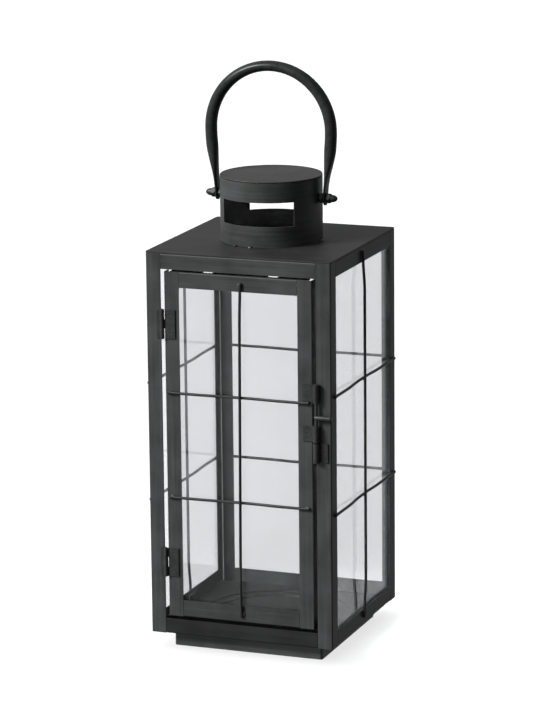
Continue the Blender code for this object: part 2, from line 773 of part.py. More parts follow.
def add_bars(side, turns, upright_span, crossbar_zs, crossbar_half, origin=(0, 0, 0), axis=None):
    xs = UPRIGHT_X[side]
    crossing = (xs[0] + xs[1]) / 2
    meshes = {
        "upright": upright_mesh(upright_span, xs),
        "lower_crossbar": crossbar_mesh(crossbar_half, crossbar_zs[0], crossing),
        "upper_crossbar": crossbar_mesh(crossbar_half, crossbar_zs[1], crossing),
    }
    for kind, mesh in meshes.items():
        name = f"bar_{side}_{kind}"
        mesh = moved(mesh, turn=quarter_turn(turns))
        add_node(name, mesh, painted(name, 0.035), origin, axis, smooth=True)


def add_all_bars(axis):
    for side in ("right", "back", "left"):
        add_bars(side, SIDES[side], SIDE_UPRIGHT_Z, SIDE_CROSSBAR_Z, SIDE_CROSSBAR_HALF)
    hinge = (HINGE_X, HINGE_Y, 0)
    add_bars("door", SIDES["front"], DOOR_UPRIGHT_Z, DOOR_CROSSBAR_Z, DOOR_CROSSBAR_HALF, hinge, axis)


def main():
    clear_scene()
    hinge_axis = add_axis("door_axis", (HINGE_X, HINGE_Y, 0))
    add_posts()
    add_rails()
    add_door_stop()
    add_roof()
    add_floor()
    add_plinth()
    add_panes()
    add_collar()
    add_lid()
    add_handle()
    add_pivots()
    add_door(hinge_axis)
    add_hinges(hinge_axis)
    add_latch(hinge_axis)
    add_all_bars(hinge_axis)


main()
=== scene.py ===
"""Looks of the candle lantern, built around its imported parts: powder-coated sheet, drawn wire bars,
curled hinges and latch, a swept bail handle, float glass and weld beads. Metres, +Z up, door at -Y."""
import json
import math

import bmesh
import bpy
from mathutils import Matrix, Vector, noise


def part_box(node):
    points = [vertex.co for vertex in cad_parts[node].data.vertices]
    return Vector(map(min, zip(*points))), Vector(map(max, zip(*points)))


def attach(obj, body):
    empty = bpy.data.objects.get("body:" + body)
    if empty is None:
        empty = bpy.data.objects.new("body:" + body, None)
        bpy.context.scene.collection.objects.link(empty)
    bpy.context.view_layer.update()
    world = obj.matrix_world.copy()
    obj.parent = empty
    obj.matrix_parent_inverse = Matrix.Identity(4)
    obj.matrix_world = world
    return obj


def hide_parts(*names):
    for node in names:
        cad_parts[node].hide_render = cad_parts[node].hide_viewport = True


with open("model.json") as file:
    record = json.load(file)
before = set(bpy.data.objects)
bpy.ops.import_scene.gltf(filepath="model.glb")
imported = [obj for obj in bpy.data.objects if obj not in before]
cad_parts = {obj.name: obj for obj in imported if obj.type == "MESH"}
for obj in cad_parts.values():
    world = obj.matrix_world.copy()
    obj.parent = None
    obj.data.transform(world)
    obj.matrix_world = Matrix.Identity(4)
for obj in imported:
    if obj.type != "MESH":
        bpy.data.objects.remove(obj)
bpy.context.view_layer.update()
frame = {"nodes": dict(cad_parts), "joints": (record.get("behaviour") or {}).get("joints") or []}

MM = 0.001
ON_AXIS = 1e-9
JOINTS = {joint["name"]: joint for joint in frame["joints"]}
HANDLE_PIVOT = Vector(JOINTS["handle_swing"]["pos_m"])
DOOR_AXIS = Vector(JOINTS["door_hinge"]["pos_m"])
BOLT_DROP = -JOINTS["bolt_slide"]["range_m"][0]
HALF_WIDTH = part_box("roof_plate")[1].x

# Camera
CAMERA_AZIMUTH = math.radians(20.79)
CAMERA_ELEVATION = math.radians(12.89)
CAMERA_ROLL = math.radians(-0.586)
CAMERA_LENS = 178.3
CAMERA_DISTANCE = 2.797
CAMERA_AIM = Vector((-0.0066, 0.0107, 0.2173))

# The world's bright sides: the way each faces, where its light starts and is full, and its strength
WORLD_DARK = 0.04
WORLD_LOBES = (((-0.80, -0.40, 0.45), -0.2, 0.95, 0.8), ((0.35, 0.92, -0.1), 0.1, 0.95, 0.3))
WORLD_COLOUR = (0.98, 0.99, 1.0, 1.0)

# Distant lights: azimuth, elevation, strength and spread, with the angles in degrees
KEY_LIGHT = (-45, 33, 4.6, 20)
FLOOR_WASH = (0, 90, 2.0, 10)
GROUND_HALF = 25

# Sheet, and the seam and gussets that close its joints
SHEET = 1.0 * MM
SHEET_EDGE = 0.22 * MM
FIT = 0.3 * MM
SEAM_INSET = 0.35 * MM
SEAM_WIDTH = 0.5 * MM
SEAM_GAP = 0.02 * MM
GUSSET_GAP = 0.05 * MM
WELD_DISTANCE = 0.002 * MM
SHARP_ANGLE = math.radians(40)

# Glass
PANE_CHAMFER = 0.25 * MM

# Vent collar and lid
COLLAR_SIDES = 240
COLLAR_EDGE = 0.14 * MM
SLOT_ABOVE_FOOT = 16.2 * MM
SLOT_HEIGHT = 18.5 * MM
SLOT_HALF_ANGLE = 46.6
LID_EDGE = 0.45 * MM

# Handle and its pivots
STRAP_X = 44.4 * MM
STRAP_HALF = (1.0 * MM, 5.0 * MM)
TUBE_HALF = (4.7 * MM, 4.7 * MM)
CROWN_HALF = (4.1 * MM, 5.1 * MM)
STRAP_SQUARENESS = 3.2
BAIL_CENTRE_ABOVE_PIVOT = 51.4 * MM
LEG_LOW_ABOVE_PIVOT = 1 * MM
FLAT_END_ABOVE_PIVOT = 8 * MM
ROUND_START_BELOW_CENTRE = 12 * MM
BAIL_SIDES = 40
SCREW_RADIUS = 2.0 * MM
SCREW_HOLE = 2.2 * MM
SCREW_CHAMFER = 0.3 * MM
SCREW_HEAD_RADIUS = 3.4 * MM
SCREW_HEAD_HEIGHT = 1.9 * MM
SCREW_SLOT = (1.7 * MM, 0.45 * MM)
SCREW_SLOT_DEPTH = 1.0 * MM
NUT_ACROSS = 7.0 * MM
NUT_CHAMFER = 0.55 * MM
NUT_EDGE = 0.06 * MM
CAP_HEX_HEIGHT = 3.3 * MM
CAP_NECK = 0.9 * MM
DOME_RADIUS = 2.9 * MM
SMALL_SIDES = 48
NUT_SIDES = 72

# Hinges and latch
LEAF = 0.8 * MM
LEAF_EDGE = 0.12 * MM
HINGE_HOLE = 1.05 * MM
BARREL_HOLE = 1.55 * MM
BOLT_RADIUS = 1.3 * MM
BOLT_ROUND = 0.5 * MM
ARM_ROUND = 0.9 * MM
DIMPLE_RADIUS = 1.2 * MM
DIMPLE_DEPTH = 0.18 * MM

# Wire bars
WIRE_RADIUS = 1.12 * MM
WIRE_SIDES = 24
WIRE_LIFT = 0.2 * MM
WIRE_STEP = 1.2 * MM
UPRIGHT_JOGGLE = (5 * MM, 32 * MM)
CROSSBAR_DIP = (6 * MM, 36 * MM)
DOOR_UPRIGHT_LEAN = 2.0 * MM
PRESSED_LENGTH = 7 * MM
WIRE_TIP = 0.8 * MM

# For each side of the lantern: the axis its bars face along, which way, and their body
BAR_SIDES = {
    "right": (0, 1, "frame"),
    "left": (0, -1, "frame"),
    "back": (1, 1, "frame"),
    "door": (1, -1, "door"),
}

# Weld beads: half their size across, up and outwards, how far they are from a wire's end, and their lift
UPRIGHT_BEAD = (1.7 * MM, 2.0 * MM, 0.75 * MM)
CROSSBAR_BEAD = (2.0 * MM, 1.6 * MM, 0.75 * MM)
CROSSING_BEAD = (1.3 * MM, 1.3 * MM, 0.6 * MM)
COLLAR_TACK = (1.9 * MM, 1.9 * MM, 1.1 * MM)
UPRIGHT_BEAD_FROM_END = 2.6 * MM
CROSSBAR_BEAD_FROM_END = 2.4 * MM
BEAD_LIFT = 0.3 * MM
COLLAR_TACK_ANGLES = (-114, -94, 4, 68, 88, 176)
COLLAR_TACK_OFFSET = 0.1 * MM

# Floor pressing
DISH_RADII = (59 * MM, 51 * MM)
DISH_STEP = 1.2 * MM
DISH_SLOPE = 1.5 * MM
FLOOR_SIDES = 160
FLOOR_EDGE = 0.2 * MM


# Materials

class Graph:
    """A new material and its shader nodes. An input is a plain value or another node's output."""

    def __init__(self, name):
        self.material = bpy.data.materials.new(name)
        self.material.use_nodes = True
        self.tree = self.material.node_tree
        self.shader = self.tree.nodes["Principled BSDF"]
        self.output = self.tree.nodes["Material Output"]

    def put(self, node, inputs):
        for socket, value in inputs.items():
            if isinstance(value, bpy.types.NodeSocket):
                self.tree.links.new(value, node.inputs[socket])
            else:
                node.inputs[socket].default_value = value
        return node

    def add(self, kind, inputs=None, **settings):
        node = self.tree.nodes.new(kind)
        for name, value in settings.items():
            setattr(node, name, value)
        return self.put(node, inputs or {})

    def math(self, operation, *values):
        return self.add("ShaderNodeMath", dict(enumerate(values)), operation=operation).outputs[0]

    def noise(self, vector, scale, detail=2.0, roughness=0.5):
        inputs = {"Vector": vector, "Scale": scale, "Detail": detail, "Roughness": roughness}
        return self.add("ShaderNodeTexNoise", inputs).outputs[0]

    def stretch(self, value, from_low, from_high, low, high):
        inputs = {"Value": value, "From Min": from_low, "From Max": from_high, "To Min": low, "To Max": high}
        return self.add("ShaderNodeMapRange", inputs).outputs[0]

    def mix(self, factor, first, second):
        node = self.add("ShaderNodeMix", {0: factor, 6: first, 7: second}, data_type="RGBA")
        return node.outputs[2]

    def edges(self, radius):
        """About 1 where two faces meet within the radius, 0 on a flat face."""
        softened = self.add("ShaderNodeBevel", {"Radius": radius}, samples=4).outputs[0]
        surface = self.add("ShaderNodeNewGeometry").outputs["Normal"]
        same = self.add("ShaderNodeVectorMath", {0: softened, 1: surface}, operation="DOT_PRODUCT")
        return self.stretch(same.outputs["Value"], 0.75, 0.99, 1.0, 0.0)


def grey(value, warmth=0.0):
    return (value * (1 + warmth), value, value * (1 - warmth), 1.0)


def powder_coat(name, tone, roughness, streaks, warmth=-0.02, specular=0.35, wear_and_highlight=1.0):
    """Satin black coat over brushed sheet, its edges lighter: worn coat, widened into a painted highlight
    along every edge. streaks is the scale of the sheet's grain along X, Y and Z.
    """
    graph = Graph(name)
    place = graph.add("ShaderNodeTexCoord").outputs["Object"]
    stretched = graph.add("ShaderNodeMapping", {"Vector": place, "Scale": streaks}).outputs[0]
    streak = graph.noise(stretched, 1.0, 3.0, 0.6)
    mottle = graph.noise(place, 38.0, 4.0, 0.55)
    peel = graph.noise(place, 700.0)
    speck = graph.noise(place, 2600.0, 1.0)
    both = graph.math("ADD", streak, mottle)
    shade = graph.stretch(both, 0.76, 1.24, 0.0, 1.0)
    coat = graph.mix(shade, grey(tone * 0.62, warmth), grey(tone * 1.38, warmth))
    patchy = graph.stretch(mottle, 0.35, 0.65, 0.2 * wear_and_highlight, 0.7 * wear_and_highlight)
    # Lighter edges: partly worn coat, partly a painted highlight along every edge.
    worn_and_highlit = graph.math("MULTIPLY", graph.edges(0.6 * MM), patchy)
    colour = graph.mix(worn_and_highlit, coat, grey(tone * 2.3, warmth))
    rough = graph.math("ADD", graph.stretch(both, 0.7, 1.3, roughness - 0.06, roughness + 0.06),
                       graph.math("MULTIPLY", worn_and_highlit, -0.1))
    fine = graph.math("MULTIPLY_ADD", speck, 0.3, graph.math("MULTIPLY", peel, 0.6))
    height = graph.math("MULTIPLY_ADD", streak, 0.5, fine)
    bump = graph.add("ShaderNodeBump", {"Height": height, "Strength": 0.35, "Distance": 0.08 * MM})
    graph.put(graph.shader, {"Base Color": colour, "Roughness": rough, "Normal": bump.outputs[0],
                             "Specular IOR Level": specular})
    return graph.material


def lets_lamps_through(graph):
    """Mixes the shader with a clear one for shadow rays, so that glass doesn't darken what is behind it."""
    path = graph.add("ShaderNodeLightPath").outputs["Is Shadow Ray"]
    clear = graph.add("ShaderNodeBsdfTransparent", {"Color": (0.86, 0.9, 0.88, 1.0)}).outputs[0]
    mixed = graph.add("ShaderNodeMixShader", {0: path, 1: graph.shader.outputs[0], 2: clear})
    graph.tree.links.new(mixed.outputs[0], graph.output.inputs["Surface"])


def float_glass(name, tint, roughness, clear=1.0):
    """Float glass with a faint unevenness from drawing and wiping. clear is the share that is see-through."""
    graph = Graph(name)
    place = graph.add("ShaderNodeTexCoord").outputs["Object"]
    stretched = graph.add("ShaderNodeMapping", {"Vector": place, "Scale": (9, 9, 30)}).outputs[0]
    wiped = graph.noise(stretched, 1.0, 3.0)
    low = tuple(part * 0.985 for part in tint)
    colour = graph.mix(graph.stretch(wiped, 0.35, 0.65, 0.0, 1.0), (*low, 1.0), (*tint, 1.0))
    wave = graph.noise(place, 14.0, 1.0)
    bump = graph.add("ShaderNodeBump", {"Height": wave, "Strength": 0.02, "Distance": 0.1 * MM})
    graph.put(graph.shader, {"Base Color": colour, "Roughness": roughness, "IOR": 1.3,
                             "Transmission Weight": clear, "Normal": bump.outputs[0]})
    lets_lamps_through(graph)
    return graph.material


def pale_floor():
    graph = Graph("pale_floor")
    place = graph.add("ShaderNodeTexCoord").outputs["Object"]
    shade = graph.stretch(graph.noise(place, 3.0, 4.0), 0.3, 0.7, 0.0, 1.0)
    colour = graph.mix(shade, grey(0.90), grey(0.92))
    graph.put(graph.shader, {"Base Color": colour, "Roughness": 0.9, "Specular IOR Level": 0.1,
                             "Emission Color": (1.0, 1.0, 1.0, 1.0), "Emission Strength": 0.15})
    return graph.material


ALONG_X = (12, 420, 420)
ALONG_Y = (420, 12, 420)
ALONG_Z = (420, 420, 12)
ROUND_Z = (16, 16, 650)
EVEN = (260, 260, 260)

COATS = {
    "upright": powder_coat("coat_upright", 0.031, 0.52, ALONG_Z),
    "across": powder_coat("coat_across", 0.029, 0.52, ALONG_X),
    # Darker coat for the front bottom rail: painted shade, as the rail sits low by the floor with less light
    # on it.
    "low": powder_coat("coat_low_painted_shade", 0.010, 0.50, ALONG_X, specular=0.25),
    # Twice as light a coat for the plinth: painted light, as the plinth sits in the shade under the bottom
    # rail.
    "foot": powder_coat("coat_foot_painted_light", 0.060, 0.50, ALONG_X),
    "depth": powder_coat("coat_depth", 0.029, 0.52, ALONG_Y),
    # Near-black, dull coat for the door stile's return beside the post: painted shade in the gap.
    "thin": powder_coat("coat_painted_shade_return", 0.005, 0.60, ALONG_Z, specular=0.1, wear_and_highlight=0.0),
    "collar": powder_coat("coat_collar", 0.030, 0.46, ROUND_Z),
    "roof": powder_coat("coat_roof", 0.019, 0.55, ALONG_X, warmth=0.02),
    "lid": powder_coat("coat_lid", 0.031, 0.5, ALONG_Y, warmth=0.04),
    # A very dark coat for the floor plate and its corner plates: partly darker paint, partly painted shade
    # inside the lantern.
    "floor": powder_coat("coat_floor_dark_paint_and_shade", 0.010, 0.5, EVEN, warmth=0.01),
    "wire": powder_coat("coat_wire", 0.011, 0.45, EVEN, wear_and_highlight=0.0),
    "hardware": powder_coat("coat_hardware", 0.018, 0.42, EVEN, wear_and_highlight=0.8),
    "handle": powder_coat("coat_handle", 0.018, 0.32, EVEN, wear_and_highlight=0.0, specular=0.2),
    "weld": powder_coat("coat_weld", 0.034, 0.28, EVEN, wear_and_highlight=0.0, specular=0.6),
}
GLASS = float_glass("float_glass", (0.802, 0.805, 0.814), 0.0)
GLASS_EDGE = float_glass("glass_edge", (0.78, 0.86, 0.81), 0.5, clear=0.3)


# Mesh helpers

def new_mesh(bm):
    bmesh.ops.recalc_face_normals(bm, faces=bm.faces)
    mesh = bpy.data.meshes.new("shape")
    bm.to_mesh(mesh)
    bm.free()
    return mesh


def piece(name, mesh, material, body, slot, *nodes, sharp=35, bevel=0.0):
    """Names a mesh, finishes its edges and puts it on its body in place of its CAD nodes."""
    mesh.name = name
    mesh.materials.clear()
    mesh.materials.append(material)
    mesh.shade_smooth()
    obj = bpy.data.objects.new(name, mesh)
    bpy.context.collection.objects.link(obj)
    if bevel:
        soften(obj, bevel)
    else:
        mesh.set_sharp_from_angle(angle=math.radians(sharp))
    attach(obj, body)
    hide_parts(*nodes)
    return obj


def soften(obj, width):
    """Rounds the sharp edges of a sheet part and keeps its flat faces flat."""
    weld = obj.modifiers.new("weld", "WELD")
    weld.merge_threshold = WELD_DISTANCE
    round_over = obj.modifiers.new("round_over", "BEVEL")
    round_over.width = width
    round_over.segments = 2
    round_over.limit_method = "ANGLE"
    round_over.angle_limit = SHARP_ANGLE
    round_over.harden_normals = False
    flat = obj.modifiers.new("flat", "WEIGHTED_NORMAL")
    flat.keep_sharp = False


def arc(centre, radius, start, end, steps):
    """Points on a circle, from one angle to another in degrees."""
    turns = [math.radians(start + (end - start) * i / steps) for i in range(steps + 1)]
    return [(centre[0] + radius * math.cos(t), centre[1] + radius * math.sin(t)) for t in turns]


def rounded(points, radius, steps):
    """An open outline with an arc of this radius at every corner between its two ends."""
    out = [points[0]]
    for before, point, after in zip(points, points[1:], points[2:]):
        here = Vector(point)
        back = Vector(before) - here
        ahead = Vector(after) - here
        half = back.angle(ahead) / 2
        reach = min(radius / math.tan(half), back.length * 0.45, ahead.length * 0.45)
        first = here + back.normalized() * reach
        last = here + ahead.normalized() * reach
        middle = here + (back.normalized() + ahead.normalized()).normalized() * reach / math.cos(half)
        spokes = [(end - middle).normalized() for end in (first, last)]
        length = (first - middle).length
        for step in range(steps + 1):
            out.append(tuple(middle + spokes[0].slerp(spokes[1], step / steps) * length))
    return out + [points[-1]]


def extruded(outline, low, high):
    """An outline of (x, y) points pushed up from one height to another."""
    bm = bmesh.new()
    rings = [[bm.verts.new((x, y, z)) for x, y in outline] for z in (low, high)]
    for ring in rings:
        bm.faces.new(ring)
    bridge(bm, rings)
    return new_mesh(bm)


def block(low, high):
    outline = [(low[0], low[1]), (high[0], low[1]), (high[0], high[1]), (low[0], high[1])]
    return extruded(outline, low[2], high[2])


def bridge(bm, rings, closed=False):
    """Joins rings of equal length, or a ring and a single point, with faces."""
    pairs = list(zip(rings, rings[1:]))
    if closed:
        pairs.append((rings[-1], rings[0]))
    for first, second in pairs:
        count = max(len(first), len(second))
        for i in range(count):
            j = (i + 1) % count
            corners = [first[i % len(first)], first[j % len(first)]]
            corners += [second[j % len(second)], second[i % len(second)]]
            unique = list(dict.fromkeys(corners))
            if len(unique) > 2:
                bm.faces.new(unique)


def turned(profile, sides, closed=False):
    """A (radius, height) profile turned about Z. An open profile starts and ends on the axis."""
    bm = bmesh.new()
    rings = []
    for radius, height in profile:
        if radius < ON_AXIS:
            rings.append([bm.verts.new((0, 0, height))])
            continue
        turns = [2 * math.pi * i / sides for i in range(sides)]
        rings.append([bm.verts.new((radius * math.cos(t), radius * math.sin(t), height)) for t in turns])
    bridge(bm, rings, closed)
    return new_mesh(bm)


def moved(mesh, offset, turn=None):
    """Turns a mesh about the origin, then shifts it."""
    if turn is not None:
        mesh.transform(turn.to_4x4())
    mesh.transform(Matrix.Translation(Vector(offset)))
    return mesh


def mirrored(mesh):
    """Mirrors a mesh in X, its faces still pointing out."""
    mesh.transform(Matrix.Scale(-1, 4, (1, 0, 0)))
    mesh.flip_normals()
    return mesh


def along_x(sign=1):
    """The turn that lays +Z along +X, or along -X."""
    return Matrix.Rotation(sign * math.pi / 2, 3, "Y")


def combined(base, other, operation):
    """The Boolean of two meshes, as a new mesh."""
    first = bpy.data.objects.new("first", base)
    second = bpy.data.objects.new("second", other)
    for obj in (first, second):
        bpy.context.collection.objects.link(obj)
    step = first.modifiers.new("combine", "BOOLEAN")
    step.operation = operation
    step.object = second
    graph = bpy.context.evaluated_depsgraph_get()
    result = bpy.data.meshes.new_from_object(first.evaluated_get(graph))
    for obj in (first, second):
        bpy.data.objects.remove(obj, do_unlink=True)
    return result


def cut(mesh, cutter):
    return combined(mesh, cutter, "DIFFERENCE")


def eased(value):
    """A smooth step: 0 up to 0, 1 from 1 on."""
    value = min(max(value, 0.0), 1.0)
    return value * value * (3 - 2 * value)


def between(first, second, amount):
    return tuple(a + (b - a) * amount for a, b in zip(first, second))


def swept(stations, normal, sides):
    """A closed rod through stations of (centre, half across, half along the normal, squareness)."""
    bm = bmesh.new()
    rings = []
    for i, (centre, across_half, normal_half, square) in enumerate(stations):
        before = stations[max(i - 1, 0)][0]
        after = stations[min(i + 1, len(stations) - 1)][0]
        way = (after - before).normalized()
        across = way.cross(normal).normalized()
        ring = []
        for j in range(sides):
            turn = 2 * math.pi * (j + 0.5) / sides
            u, v = (math.copysign(abs(f) ** (2 / square), f) for f in (math.cos(turn), math.sin(turn)))
            ring.append(bm.verts.new(centre + across * across_half * u + normal * normal_half * v))
        rings.append(ring)
    bridge(bm, rings)
    bm.faces.new(rings[0])
    bm.faces.new(rings[-1])
    return new_mesh(bm)


def bead(bm, centre, sizes, seed):
    """A lump of weld metal: a fine ball pressed to size, its skin uneven."""
    made = bmesh.ops.create_icosphere(bm, subdivisions=4, radius=1.0)
    for vertex in made["verts"]:
        swell = 1 + 0.16 * noise.noise(vertex.co * 1.3 + Vector((seed, 0, 0)))
        swell += 0.05 * noise.noise(vertex.co * 4.0 + Vector((0, seed, 0)))
        vertex.co = Vector(centre) + Vector([c * s * swell for c, s in zip(vertex.co, sizes)])


# Camera, light and floor

def camera_axes():
    """Unit vectors to the camera's right, up and back."""
    side, lift = CAMERA_AZIMUTH, CAMERA_ELEVATION
    back = Vector((math.sin(side) * math.cos(lift), -math.cos(side) * math.cos(lift), math.sin(lift)))
    right = Vector((math.cos(side), math.sin(side), 0))
    roll = Matrix.Rotation(CAMERA_ROLL, 3, back)
    return roll @ right, roll @ back.cross(right), back


def add_camera():
    right, up, back = camera_axes()
    data = bpy.data.cameras.new("camera")
    data.lens = CAMERA_LENS
    data.sensor_width = 36
    data.clip_end = 60
    camera = bpy.data.objects.new("camera", data)
    bpy.context.collection.objects.link(camera)
    turn = Matrix((right, up, back)).transposed().to_4x4()
    camera.matrix_world = Matrix.Translation(CAMERA_AIM + back * CAMERA_DISTANCE) @ turn
    bpy.context.scene.camera = camera


def add_sun(name, azimuth, elevation, strength, spread):
    """A soft distant light that shines from an azimuth and elevation in degrees. Azimuth 0 is in front."""
    data = bpy.data.lights.new(name, "SUN")
    data.energy = strength
    data.angle = math.radians(spread)
    light = bpy.data.objects.new(name, data)
    bpy.context.collection.objects.link(light)
    side, lift = math.radians(azimuth), math.radians(elevation)
    towards = Vector((math.sin(side) * math.cos(lift), -math.cos(side) * math.cos(lift), math.sin(lift)))
    light.rotation_mode = "QUATERNION"
    light.rotation_quaternion = towards.to_track_quat("Z", "Y")
    return light


def add_world():
    """A dark studio with a large bright side to the left and above, and a dimmer one behind."""
    world = bpy.data.worlds.new("studio")
    bpy.context.scene.world = world
    world.use_nodes = True
    tree = world.node_tree
    background = tree.nodes["Background"]
    background.inputs["Color"].default_value = WORLD_COLOUR
    place = tree.nodes.new("ShaderNodeTexCoord")
    total = None
    for facing, start, full, strength in WORLD_LOBES:
        towards = tree.nodes.new("ShaderNodeVectorMath")
        towards.operation = "DOT_PRODUCT"
        towards.inputs[1].default_value = Vector(facing).normalized()
        fade = tree.nodes.new("ShaderNodeMapRange")
        fade.interpolation_type = "SMOOTHSTEP"
        for socket, value in zip(("From Min", "From Max", "To Min", "To Max"), (start, full, 0.0, strength)):
            fade.inputs[socket].default_value = value
        tree.links.new(place.outputs["Generated"], towards.inputs[0])
        tree.links.new(towards.outputs["Value"], fade.inputs["Value"])
        add = tree.nodes.new("ShaderNodeMath")
        add.inputs[1].default_value = WORLD_DARK
        if total is not None:
            tree.links.new(total, add.inputs[1])
        tree.links.new(fade.outputs["Result"], add.inputs[0])
        total = add.outputs[0]
    tree.links.new(total, background.inputs["Strength"])


def add_floor():
    """The studio floor, which the lantern's metal doesn't mirror."""
    bm = bmesh.new()
    bmesh.ops.create_grid(bm, x_segments=2, y_segments=2, size=GROUND_HALF)
    ground = bpy.data.objects.new("ground", new_mesh(bm))
    ground.data.materials.append(pale_floor())
    ground.visible_glossy = False
    ground.visible_diffuse = False
    bpy.context.collection.objects.link(ground)
    return ground


def shines_on(light, obj, state):
    """Limits a light to one object, or keeps it off that object."""
    group = bpy.data.collections.new(f"{light.name}_receivers")
    group.objects.link(obj)
    light.light_linking.receiver_collection = group
    group.collection_objects[0].light_linking.link_state = state


def add_studio():
    """A key light on the lantern from the left, and a wash on the floor that casts no shadow."""
    add_world()
    ground = add_floor()
    key = add_sun("key", *KEY_LIGHT)
    shines_on(key, ground, "EXCLUDE")
    wash = add_sun("floor_wash", *FLOOR_WASH)
    wash.data.use_shadow = False
    shines_on(wash, ground, "INCLUDE")
    bpy.context.scene.view_settings.view_transform = "Standard"


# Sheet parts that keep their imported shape

def paint_return_shade(stile):
    """The face turned towards the post gets a near-black, dull coat: painted shade in the gap between the
    door and the post.
    """
    stile.data.materials.append(COATS["thin"])
    for face in stile.data.polygons:
        if face.normal.x > 0.9:
            face.material_index = 1


def finish_sheets():
    """Gives every folded sheet part its grain, its coat and softened edges. The front bottom rail's darker
    coat and the right stile's near-black return are painted shade, the plinth's lighter coat painted light.
    """
    grains = {"post": "upright", "door_stile": "upright", "rail": "across", "door_rail": "across",
              "door_stop": "across", "plinth": "foot", "roof_plate": "roof"}
    for name, node in frame["nodes"].items():
        kind = next((k for k in grains if name.startswith(k)), None)
        if kind is None:
            continue
        coat = grains[kind]
        if kind == "rail" and name.endswith(("left", "right")):
            coat = "depth"
        # The front bottom rail gets the darker coat: painted shade.
        if name == "rail_bottom_front":
            coat = "low"
        node.data.materials.clear()
        node.data.materials.append(COATS[coat])
        # The right stile's return gets the near-black coat: painted shade in the gap.
        if name == "door_stile_right":
            paint_return_shade(node)
        node.data.shade_smooth()
        soften(node, SHEET_EDGE)


# Roof seam and floor

def add_roof_seam():
    """The sealed seam between the roof plate and the tops of the posts and rails."""
    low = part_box("rail_top_front")[1].z + SEAM_GAP
    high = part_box("roof_plate")[0].z - SEAM_GAP
    outer = HALF_WIDTH - SEAM_INSET
    inner = outer - SEAM_WIDTH
    ring = cut(block((-outer, -outer, low), (outer, outer, high)),
               block((-inner, -inner, low - MM), (inner, inner, high + MM)))
    piece("roof_seam", ring, COATS["weld"], "frame", "frame")


def add_floor_gussets():
    """A small plate in each bottom corner, level with the rails' shelves, so that no light comes up there."""
    rail_low, rail_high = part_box("rail_bottom_front")
    low, high = rail_low.z + GUSSET_GAP, rail_low.z + SHEET - GUSSET_GAP
    inner, outer = rail_high.x + GUSSET_GAP, HALF_WIDTH - SHEET - GUSSET_GAP
    bm = bmesh.new()
    for side, depth in ((1, 1), (1, -1), (-1, -1), (-1, 1)):
        xs = sorted((side * inner, side * outer))
        ys = sorted((depth * inner, depth * outer))
        plate = block((xs[0], ys[0], low), (xs[1], ys[1], high))
        bm.from_mesh(plate)
        bpy.data.meshes.remove(plate)
    piece("floor_gussets", new_mesh(bm), COATS["floor"], "frame", "frame")


def add_floor_pressing():
    """A square plate with two round steps pressed down to the candle's seat."""
    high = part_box("floor_plate")[1]
    outer, inner = DISH_RADII

    def height(radius):
        steps = sum(eased((radius - rim + DISH_SLOPE) / DISH_SLOPE) for rim in (outer, inner))
        return high.z - SHEET - DISH_STEP * (2 - steps)

    radii = [8 * MM * i for i in range(6)]
    for rim in (inner, outer):
        radii += [rim - DISH_SLOPE + DISH_SLOPE * i / 8 for i in range(-1, 10)]
    rings = [(radius, 0.0) for radius in radii]
    rings += [(radii[-1], i / 5) for i in range(1, 6)]
    bm = bmesh.new()

    def ring_verts(radius, share, lift, inset=0.0):
        if radius < ON_AXIS:
            return [bm.verts.new((0, 0, height(0) + lift))]
        ring = []
        for i in range(FLOOR_SIDES):
            turn = 2 * math.pi * i / FLOOR_SIDES
            reach = (high.x - inset) / max(abs(math.cos(turn)), abs(math.sin(turn)))
            far = radius + (reach - radius) * share
            ring.append(bm.verts.new((far * math.cos(turn), far * math.sin(turn), height(radius) + lift)))
        return ring

    under = [ring_verts(radius, share, 0.0, FLOOR_EDGE) for radius, share in rings]
    over = [ring_verts(radius, share, SHEET, FLOOR_EDGE) for radius, share in reversed(rings)]
    rim = [ring_verts(radii[-1], 1.0, lift) for lift in (FLOOR_EDGE, SHEET - FLOOR_EDGE)]
    bridge(bm, under + rim + over)
    piece("floor_pressing", new_mesh(bm), COATS["floor"], "frame", "plates", "floor_plate")


# Glass

def add_glass():
    """Panes with chamfered edges. The upright edges of the back and left ones show as ground glass."""
    for side, body in (("back", "frame"), ("right", "frame"), ("left", "frame"), ("door", "door")):
        node = f"pane_{side}"
        low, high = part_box(node)
        obj = piece(f"glass_{side}", block(low, high), GLASS, body, "glass", node)
        mesh = obj.data
        mesh.materials.append(GLASS_EDGE)
        bm = bmesh.new()
        bm.from_mesh(mesh)
        bmesh.ops.bevel(bm, geom=bm.edges, offset=PANE_CHAMFER, segments=1, affect="EDGES")
        thin = min(range(3), key=lambda i: (high - low)[i])
        for face in bm.faces:
            face.smooth = False
            upright_edge = abs(face.normal[thin]) < 0.9 and abs(face.normal.z) < 0.5
            face.material_index = 1 if upright_edge and side in ("back", "left") else 0
        bm.to_mesh(mesh)
        bm.free()


# Vent collar

